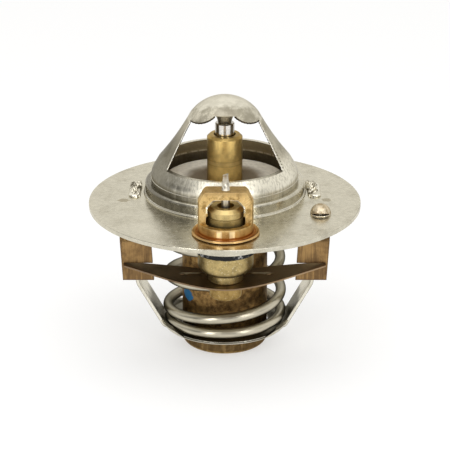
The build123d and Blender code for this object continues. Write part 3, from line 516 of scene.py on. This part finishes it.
MAIN_AXIS, SUB_AXIS = (0, MAIN_Y, 0), (SUB_X, SUB_Y, 0)
finishes = {
    "flange": metal(
        "flange_steel", (0.60, 0.565, 0.46), (0.45, 0.415, 0.325), 0.22, stain=(170.0, 0.46, 0.72),
        bump=0.0025, edge=(0.70, 0.67, 0.58), tone=0.95, overlay=flange_marks,
    ),
    "upper_bridge": metal(
        "bridge_steel", (0.67, 0.625, 0.505), (0.37, 0.34, 0.255), 0.33, grain=(1500, 1500, 260),
        centre=MAIN_AXIS, stain=(320.0, 0.44, 0.66), bump=0.004, edge=(0.27, 0.23, 0.15),
        overlay=bridge_marks_and_light,
    ),
    "lower_bridge": metal(
        "leg_steel", (0.92, 0.88, 0.76), (0.70, 0.66, 0.53), 0.30, grain=(2500, 2500, 300), centre=MAIN_AXIS,
        stain=(140.0, 0.45, 0.7), bump=0.004, edge=(0.16, 0.14, 0.10), edge_radius=0.4, overlay=leg_painted_shadow,
    ),
    "valve_plate": metal(
        "plate_steel", (0.96, 0.91, 0.79), (0.76, 0.68, 0.53), 0.42, centre=MAIN_AXIS,
        stain=(120.0, 0.5, 0.8), rings=1500.0, bump=0.002, metallic=0.15, overlay=dish_painted_shade,
    ),
    "main_piston": metal(
        "ground_pin", (0.74, 0.72, 0.68), (0.60, 0.57, 0.50), 0.16, grain=(700, 700, 4000), centre=MAIN_AXIS,
        bump=0.002, edge=(0.9, 0.88, 0.84),
    ),
    "sub_piston": metal(
        "small_pin", (0.60, 0.56, 0.47), (0.42, 0.38, 0.30), 0.34, grain=(900, 900, 3000), bump=0.003,
    ),
    "main_guide": metal(
        "guide_brass", (0.88, 0.62, 0.22), (0.66, 0.43, 0.13), 0.36, centre=MAIN_AXIS, rings=2600.0,
        stain=(190.0, 0.45, 0.75), bump=0.004, edge=(0.66, 0.45, 0.18), edge_radius=0.3, metallic=0.85,
        grazing_shade=0.6, overlay=guide_lines,
    ),
    "sub_cage": metal(
        "cage_brass", (0.74, 0.51, 0.21), (0.36, 0.22, 0.07), 0.36, grain=(1900, 1900, 700), centre=SUB_AXIS,
        rings=1800.0, stain=(620.0, 0.45, 0.62), bump=0.02, edge=(0.86, 0.64, 0.32), edge_radius=0.2,
        flecks=(1500.0, 0.3, (0.36, 0.21, 0.07)), overlay=copper_rim,
    ),
    "sub_guide": metal(
        "small_guide_brass", (0.60, 0.455, 0.20), (0.36, 0.26, 0.10), 0.36, centre=SUB_AXIS, rings=3000.0,
        stain=(420.0, 0.42, 0.64), bump=0.003, edge=(0.72, 0.56, 0.27), overlay=olive_foot,
    ),
    "sub_valve_body": metal(
        "body_brass", (0.50, 0.38, 0.165), (0.30, 0.23, 0.10), 0.40, grain=(2200, 2200, 2200),
        centre=SUB_AXIS, rings=1800.0, stain=(620.0, 0.42, 0.68), bump=0.02, edge=(0.72, 0.60, 0.32),
        flecks=(1900.0, 0.45, (0.92, 0.84, 0.60)), grazing_shade=0.45,
    ),
    "sub_wax_cup": metal(
        "small_cup_brass", (0.38, 0.255, 0.09), (0.22, 0.14, 0.045), 0.36, grain=(1800, 1800, 600),
        centre=SUB_AXIS, stain=(700.0, 0.42, 0.62), bump=0.02, edge=(0.68, 0.54, 0.28),
        flecks=(1700.0, 0.45, (0.62, 0.50, 0.28)),
    ),
    "main_wax_cup": metal(
        "cup_bronze", (0.37, 0.225, 0.082), (0.13, 0.072, 0.026), 0.45, grain=(1500, 1500, 350),
        stain=(640.0, 0.42, 0.62), bump=0.03, flecks=(1700.0, 0.40, (0.56, 0.38, 0.18)), overlay=cup_marks,
    ),
    "bracket": metal(
        "bracket_bronze", (0.38, 0.235, 0.095), (0.17, 0.10, 0.045), 0.36, grain=(2600, 2600, 150),
        stain=(170.0, 0.42, 0.68), bump=0.008, edge=(0.10, 0.06, 0.03), edge_radius=0.6,
        overlay=upright_streaks,
    ),
    "bleed_hood": metal(
        "hood_brass", (0.70, 0.60, 0.44), (0.42, 0.33, 0.20), 0.40, grain=(1500, 1500, 1500),
        stain=(900.0, 0.45, 0.58), bump=0.03, edge=(0.16, 0.10, 0.05), edge_radius=0.3,
    ),
    "spring": metal(
        "spring_steel", (0.57, 0.525, 0.41), (0.49, 0.45, 0.35), 0.33, grain=(150, 150, 150),
        stain=(60.0, 0.5, 0.8), bump=0.0005, tone=0.35, grazing_shade=1.0,
    ),
    "leaf": metal(
        "leaf_bronze", (0.215, 0.16, 0.105), (0.10, 0.075, 0.052), 0.36, grain=(260, 2200, 2200),
        centre=SUB_AXIS, stain=(220.0, 0.42, 0.68), bump=0.006, edge=(0.36, 0.21, 0.11), edge_radius=0.2,
        overlay=leaf_arcs,
    ),
    "stake": metal(
        "peened_steel", (0.78, 0.73, 0.60), (0.14, 0.12, 0.08), 0.22, grain=(1600, 1600, 1600),
        stain=(800.0, 0.5, 0.56), bump=0.1,
    ),
    "bleed_ball": metal("ball_steel", (0.72, 0.70, 0.66), (0.60, 0.58, 0.52), 0.15, bump=0.004),
    "burr": metal(
        "bright_burr", (0.86, 0.83, 0.74), (0.60, 0.56, 0.46), 0.3, stain=(900.0, 0.4, 0.6), bump=0.002,
    ),
    "cut_edge": metal(
        "brown_cut_edge", (0.085, 0.062, 0.032), (0.03, 0.022, 0.012), 0.4, stain=(900.0, 0.4, 0.6),
        bump=0.002,
    ),
    "lip": metal(
        "lip_painted_highlight", (0.92, 0.84, 0.68), (0.70, 0.60, 0.44), 0.3, stain=(900.0, 0.4, 0.6), bump=0.002,
    ),
    "rubber": soft_finish(
        "black_rubber", (0.006, 0.006, 0.007), (0.80, 0.80, 0.76), 0.5, fleck_scale=1300.0, fleck_size=0.7,
    ),
    "wax": soft_finish("wax_charge", (0.62, 0.55, 0.38), (0.50, 0.42, 0.27), 0.5),
}


def wear(piece, material):
    """Give a piece one material over all its faces."""
    piece.data.materials.clear()
    piece.data.materials.append(material)


# CAD nodes whose finish has their own name, and those that share one
for node in (
    "flange", "upper_bridge", "lower_bridge", "valve_plate", "main_piston", "sub_piston", "main_guide",
    "sub_cage", "sub_guide", "sub_valve_body", "sub_wax_cup", "main_wax_cup", "bleed_hood", "bleed_ball",
):
    wear(nodes[node], finishes[node])
for node, finish in {
    "spring_bracket_left": "bracket", "spring_bracket_right": "bracket", "sub_seat_plate": "flange",
    "sub_seal": "rubber", "guide_washer": "rubber", "main_boot": "rubber", "sub_boot": "rubber",
    "main_wax": "wax", "sub_wax": "wax",
}.items():
    wear(nodes[node], finishes[finish])


# Mesh tools
def grid_piece(name, points, close_u=False, close_v=False, caps=False):
    """Mesh from an array of points, rows along u and columns along v, with its faces as one array."""
    rows, columns = points.shape[:2]
    u = np.arange(rows if close_u else rows - 1)
    v = np.arange(columns if close_v else columns - 1)
    u, v = np.meshgrid(u, v, indexing="ij")
    u2, v2 = (u + 1) % rows, (v + 1) % columns
    corners = [u * columns + v, u2 * columns + v, u2 * columns + v2, u * columns + v2]
    faces = np.stack(corners, -1).reshape(-1, 4).tolist()
    if caps:
        faces.append(list(range(columns)))
        faces.append([(rows - 1) * columns + column for column in reversed(range(columns))])
    mesh = bpy.data.meshes.new(name)
    mesh.from_pydata(points.reshape(-1, 3).tolist(), [], faces)
    mesh.shade_smooth()
    piece = bpy.data.objects.new(name, mesh)
    bpy.context.scene.collection.objects.link(piece)
    return piece


def unit(vectors):
    """Each vector divided by its length."""
    return vectors / np.linalg.norm(vectors, axis=1, keepdims=True)


def round_section(line, first, second, radius, sides):
    """Circles of one radius round each point of a line, in the plane of the two unit vectors there."""
    around = np.linspace(0, 2 * pi, sides, endpoint=False)
    circle = np.cos(around)[None, :, None] * first[:, None] + np.sin(around)[None, :, None] * second[:, None]
    return line[:, None] + radius * circle


def tube(name, line, radius):
    """Round wire of constant radius along a line of points, with closed ends."""
    along = unit(np.gradient(line, axis=0))
    side = unit(np.cross(along, np.array([0.3, 0.2, 0.93])))
    points = round_section(line, side, np.cross(along, side), radius, 12)
    return grid_piece(name, points, close_v=True, caps=True)


def fit_trim(piece, finish):
    """Finish a thin piece that rides on the frame."""
    wear(piece, finishes[finish])
    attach(piece, "frame")


# Main spring
def coil_spring():
    """Round wire on a coil with closed end coils: radius and height go in straight lines from knot to knot
    of the turn, and a moving average rounds the height's corners."""
    wire, top = 1.25 * MM, 2.5 * MM
    low_turns, active_turns, top_turns = 1.0, 3.4, 0.9
    low_pitch, top_pitch, start = 2.55 * MM, 2.0 * MM, radians(185)
    low_rise, top_rise = low_turns * low_pitch, top_turns * top_pitch
    active_rise = (top - wire) - (PAN_FLOOR + wire) - low_rise - top_rise
    knots = np.cumsum([0, low_turns, active_turns, top_turns])
    heights = np.cumsum([PAN_FLOOR + wire, low_rise, active_rise, top_rise])
    radii = np.array([13.4, 13.7, 12.9, 12.9]) * MM
    turn = np.linspace(0, knots[-1], 661)
    radius = np.interp(turn, knots, radii)
    height = np.interp(turn, knots, heights)
    reach = 30
    ease = np.hanning(2 * reach + 1)
    height[reach:-reach] = np.convolve(height, ease / ease.sum(), "same")[reach:-reach]
    angle = 2 * pi * turn + start
    line = np.stack([radius * np.cos(angle), MAIN_Y + radius * np.sin(angle), height], -1)
    along = unit(np.gradient(line, axis=0))
    outward = np.stack([np.cos(angle), np.sin(angle), 0 * angle], -1)
    outward = unit(outward - along * (outward * along).sum(1, keepdims=True))
    points = round_section(line, outward, np.cross(along, outward), wire, 24)
    return grid_piece("coil_spring", points, close_v=True, caps=True)


spring = coil_spring()
wear(spring, finishes["spring"])
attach(spring, "frame")
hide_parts("main_spring")
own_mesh(spring)


# Leaf spring
def leaf_half(side):
    """Half of the leaf spring: rays run from the neck's hole to a lens-shaped outline, the sheet rises to its
    tip by a square and a cosine of x, and an arc is pressed up behind the neck."""
    reach, hole, sheet = 22.98 * MM - side * SUB_X, 3.86 * MM, 0.35 * MM
    middle_top, tip_top = -11.35 * MM, -7.68 * MM
    middle_half, taper, tip_taper, tip_share = 6.2 * MM, 2.0 * MM, 3.3 * MM, 0.04
    press_height, press_width = 0.16 * MM, 0.08
    sweep = np.linspace(0, 1, 161)
    turn = pi * sweep - pi / 2
    x_edge = np.interp(sweep, [0, 0.5 - tip_share, 0.5 + tip_share, 1], [0, reach, reach, 0])
    width = middle_half - taper * (x_edge / reach) ** 1.2 - tip_taper * (x_edge / reach) ** 2
    y_edge = width * np.clip((sweep - 0.5) / tip_share, -1, 1)
    ray = np.linspace(0, 1, 61)[None, :]
    x = (hole * np.cos(turn))[:, None] * (1 - ray) + x_edge[:, None] * ray
    y = (hole * np.sin(turn))[:, None] * (1 - ray) + y_edge[:, None] * ray
    share = x / reach
    rise = (tip_top - middle_top) * (0.5 * share ** 2 + 0.25 * (1 - np.cos(pi * share)))
    off_arc = (np.hypot(x / ARC_X, y / ARC_Y) - 1) / press_width
    press = press_height * np.exp(-off_arc ** 2) * (y > 0)
    top = np.stack([SUB_X + side * x, SUB_Y + y, middle_top + rise + press], -1)
    under = top - np.array([0, 0, sheet])
    loop = np.concatenate([top, under[:, ::-1]], axis=1)
    if side < 0:
        loop = loop[:, ::-1]
    return grid_piece("leaf_left" if side < 0 else "leaf_right", loop, close_v=True, caps=True)


for side in (-1, 1):
    leaf = leaf_half(side)
    wear(leaf, finishes["leaf"])
    leaf.data.set_sharp_from_angle(angle=radians(40))
    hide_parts("leaf_spring")
    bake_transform(leaf)


# Trim
def stake_head(side):
    """Hammered tab head: a dome on a squared oval, with three sine waves along its outline and three sets of
    sine waves in its height."""
    half_x, half_y, high, power = 1.45 * MM, 5.3 * MM, 1.0 * MM, 0.62
    u = np.linspace(0, 1, 49)[:, None]
    v = np.linspace(0, 2 * pi, 97)[None, :-1]
    outline = 1 + 0.07 * np.sin(3 * v + 1.3 * side) + 0.05 * np.sin(7 * v + 0.6) + 0.03 * np.sin(13 * v)
    x = half_x * u * outline * np.sign(np.cos(v)) * np.abs(np.cos(v)) ** power
    y = half_y * u * outline * np.sign(np.sin(v)) * np.abs(np.sin(v)) ** power
    lumps = 0.22 * np.sin(4200 * x + 3 * side) * np.sin(3100 * y + 1)
    lumps = lumps + 0.18 * np.sin(7300 * x + 2600 * y) + 0.12 * np.sin(9100 * y - 4100 * x + side)
    z = high * (1 - u ** 5) ** 0.5 * (0.82 + lumps * (1 - u ** 4)) - 0.02 * MM
    lean = radians(4) if side > 0 else radians(-1)
    centre_x, centre_y = (21.0 * side - 0.2) * MM, MAIN_Y + 0.9 * MM
    turned_x, turned_y = x * cos(lean) - y * sin(lean), x * sin(lean) + y * cos(lean)
    points = np.stack([centre_x + turned_x, centre_y + turned_y, z], -1)
    return grid_piece("stake_left" if side < 0 else "stake_right", points, close_v=True)


def hood_lip():
    """Rounded lip along the lower edge of the bleed hood's mouth, bent just inside the hood's radius; its
    pale colour is a painted highlight.
    """
    x, y, radius = 22.2 * MM, -9.3 * MM, 2.35 * MM
    turn = np.linspace(radians(-158), radians(-22), 61)
    line = np.stack([x + radius * np.cos(turn), y + radius * np.sin(turn), 0.08 * MM + 0 * turn], -1)
    return tube("hood_lip", line, 0.12 * MM)


def bead_ring(name, radius, height, wire, start=0, sweep=360):
    """Raised bead round the main axis at one radius and height, over a sweep in degrees."""
    turn = np.radians(start + np.linspace(0, sweep, 2 * sweep + 1))
    line = np.stack([radius * np.cos(turn), MAIN_Y + radius * np.sin(turn), height + 0 * turn], -1)
    return tube(name, line, wire)


for side in (-1, 1):
    fit_trim(stake_head(side), "stake")
fit_trim(hood_lip(), "lip")
PAN_BEAD = (14.66 * MM, PAN_FLOOR - 0.02 * MM, 0.13 * MM)
for bead in (
    bead_ring("bridge_bead", 17.45 * MM, 4.1 * MM, 0.1 * MM),
    bead_ring("collar_foot_bead", 18.92 * MM, 0.4 * MM, 0.12 * MM),
    bead_ring("pan_bead_front", *PAN_BEAD, start=202, sweep=136),
    bead_ring("pan_bead_back", *PAN_BEAD, start=22, sweep=136),
):
    fit_trim(bead, "burr")


# Edges of the bridge's windows and cap
CONE_FOOT, CONE_TOP = (15.83 * MM, 8.2 * MM), (8.23 * MM, 19.39 * MM)


def bridge_radius(z):
    """Outer radius of the bridge at height z: a slightly hollow cone under a ball-shaped cap."""
    ball_radius, ball_height, hollow = 9.95 * MM, 13.8 * MM, 0.42 * MM
    ball = np.sqrt(np.clip(ball_radius ** 2 - (z - ball_height) ** 2, 0, None))
    share = np.clip((z - CONE_FOOT[1]) / (CONE_TOP[1] - CONE_FOOT[1]), 0, 1)
    cone = CONE_FOOT[0] + (CONE_TOP[0] - CONE_FOOT[0]) * share - hollow * 4 * share * (1 - share)
    return np.where(z > CONE_TOP[1], ball, cone)


def window_line(corners, inset, steps=80):
    """Points on the bridge's front in straight runs between (x, z) corners in mm, inset from its outside."""
    corners = np.array(corners, float) * MM
    gone = np.concatenate([[0], np.cumsum(np.hypot(*np.diff(corners, axis=0).T))])
    at = np.linspace(0, gone[-1], steps)
    x, z = np.interp(at, gone, corners[:, 0]), np.interp(at, gone, corners[:, 1])
    y = MAIN_Y - np.sqrt(np.clip((bridge_radius(z) - inset) ** 2 - x ** 2, 0, None))
    ragged = 0.03 * MM * np.sin(9000 * at) + 0.02 * MM * np.sin(23000 * at + 1)
    return np.stack([x + ragged, y, z + ragged], -1)


def arc_through(across, first, middle, last):
    """Heights at the given x of the round arc through three (x, z) points, which hangs below its centre."""
    points = np.array([first, middle, last], float)
    chords = points[1:] - points[0]
    centre = points[0] + np.linalg.solve(2 * chords, (chords ** 2).sum(1))
    radius = np.hypot(*(points[0] - centre))
    return centre[1] - np.sqrt(radius ** 2 - (across - centre[0]) ** 2)


# Corner of the window under the cap, the wing beside it, and the foot of the arch, in millimetres
WINDOW_HEAD, WING, ARCH_FOOT = (8.0, 18.7), (4.8, 19.35), (2.2, 20.9)
end_gap, edge_drop = 0.1, 0.05
wing_x = np.linspace(WINDOW_HEAD[0] - end_gap, ARCH_FOOT[0] + end_gap, 40)
wing_z = arc_through(wing_x, WINDOW_HEAD, WING, ARCH_FOOT) - edge_drop

# Lower and upper end of the burr and of the sheared edge along the side of a window, in millimetres
BURR_ENDS = (13.52, 8.1), (8.02, 18.6)
SHEARED_ENDS = (13.5, 8.2), (8.0, 18.5)
for side in (-1, 1):
    name = "left" if side < 0 else "right"
    burr = window_line([(side * x, z) for x, z in BURR_ENDS], 0.0)
    fit_trim(tube("window_burr_" + name, burr, 0.14 * MM), "burr")
    sheared = window_line([(side * x, z) for x, z in SHEARED_ENDS], 0.43 * MM)
    fit_trim(tube("window_edge_" + name, sheared, 0.34 * MM), "cut_edge")
    wing = window_line(np.stack([side * wing_x, wing_z], -1), 0.15 * MM)
    fit_trim(tube("cap_edge_" + name, wing, 0.19 * MM), "cut_edge")


# Studio
def studio_floor():
    """Wide white table under the part: it glows white to the eye and in reflections, and takes shadow."""
    half, drop, own_light = 1.6, 0.02 * MM, 0.5
    corners = np.array([[[-half, -half, 0], [-half, half, 0]], [[half, -half, 0], [half, half, 0]]], float)
    corners[..., 2] = CUP_FOOT - drop
    floor = grid_piece("studio_floor", corners)
    material = bpy.data.materials.new("table_white")
    material.use_nodes = True
    tree = material.node_tree
    shader = tree.nodes["Principled BSDF"]
    shader.inputs["Base Color"].default_value = (0.97, 0.97, 0.97, 1)
    shader.inputs["Roughness"].default_value = 0.9
    shader.inputs["Specular IOR Level"].default_value = 0.0
    path = put(tree, "ShaderNodeLightPath").outputs
    seen = maths(tree, "ADD", path["Is Camera Ray"], path["Is Glossy Ray"])
    seen = maths(tree, "ADD", seen, path["Is Transmission Ray"], clamp=True)
    glow = put(tree, "ShaderNodeEmission", {0: (1, 1, 1, 1), 1: 1.0}).outputs[0]
    share = product(tree, seen, own_light)
    both = put(tree, "ShaderNodeMixShader", {0: share, 1: shader.outputs[0], 2: glow})
    tree.links.new(both.outputs[0], tree.nodes["Material Output"].inputs[0])
    wear(floor, material)


def soft_lamp(name, place, target, size, watts):
    """Oblong area lamp at place that faces target."""
    lamp = bpy.data.lights.new(name, "AREA")
    lamp.shape = "RECTANGLE"
    lamp.size, lamp.size_y = size
    lamp.energy = watts
    holder = bpy.data.objects.new(name, lamp)
    holder.location = place
    way = np.array(target, float) - np.array(place, float)
    tilt, turn = np.arctan2(np.hypot(way[0], way[1]), -way[2]), np.arctan2(way[1], way[0]) - pi / 2
    holder.rotation_euler = (tilt, 0, turn)
    bpy.context.scene.collection.objects.link(holder)


def studio_world():
    """Pale surround that is brighter behind, above and to the right, and dimmer low at the left front."""
    world = bpy.data.worlds.new("studio")
    bpy.context.scene.world = world
    world.use_nodes = True
    tree = world.node_tree
    way = put(tree, "ShaderNodeTexCoord").outputs["Generated"]
    lean = vector_maths(tree, "DOT_PRODUCT", way, (0.3, 1.0, 0.9))
    background = tree.nodes["Background"]
    background.inputs[0].default_value = (1.0, 0.992, 0.97, 1)
    tree.links.new(ramp_between(tree, lean, -0.45, 0.55, 0.16, 1.0), background.inputs[1])


def photo_camera():
    """Camera at the photo's angle, 0.5 m from a point near the part's axis that it looks down at."""
    data = bpy.data.cameras.new("photo_camera")
    data.sensor_width = 36
    data.lens = 168.85
    data.clip_start = 0.01
    camera = bpy.data.objects.new("photo_camera", data)
    tilt, distance, aim_x, aim_z = radians(21.394), 0.5, 0.06 * MM, -6.523 * MM
    camera.location = (aim_x, -distance * cos(tilt), aim_z + distance * sin(tilt))
    camera.rotation_euler = (pi / 2 - tilt, 0, 0)
    bpy.context.scene.collection.objects.link(camera)
    bpy.context.scene.camera = camera


studio_floor()
studio_world()
soft_lamp("top_box", (0.0, -0.3, 0.62), (0, 0, 0), (0.8, 0.6), 1.75)
soft_lamp("left_box", (-0.25, -0.44, 0.15), (0, 0, -0.01), (0.09, 0.36), 0.75)
soft_lamp("right_box", (0.31, -0.43, 0.15), (0, 0, -0.01), (0.08, 0.36), 0.65)
photo_camera()
bpy.context.scene.view_settings.view_transform = "Standard"
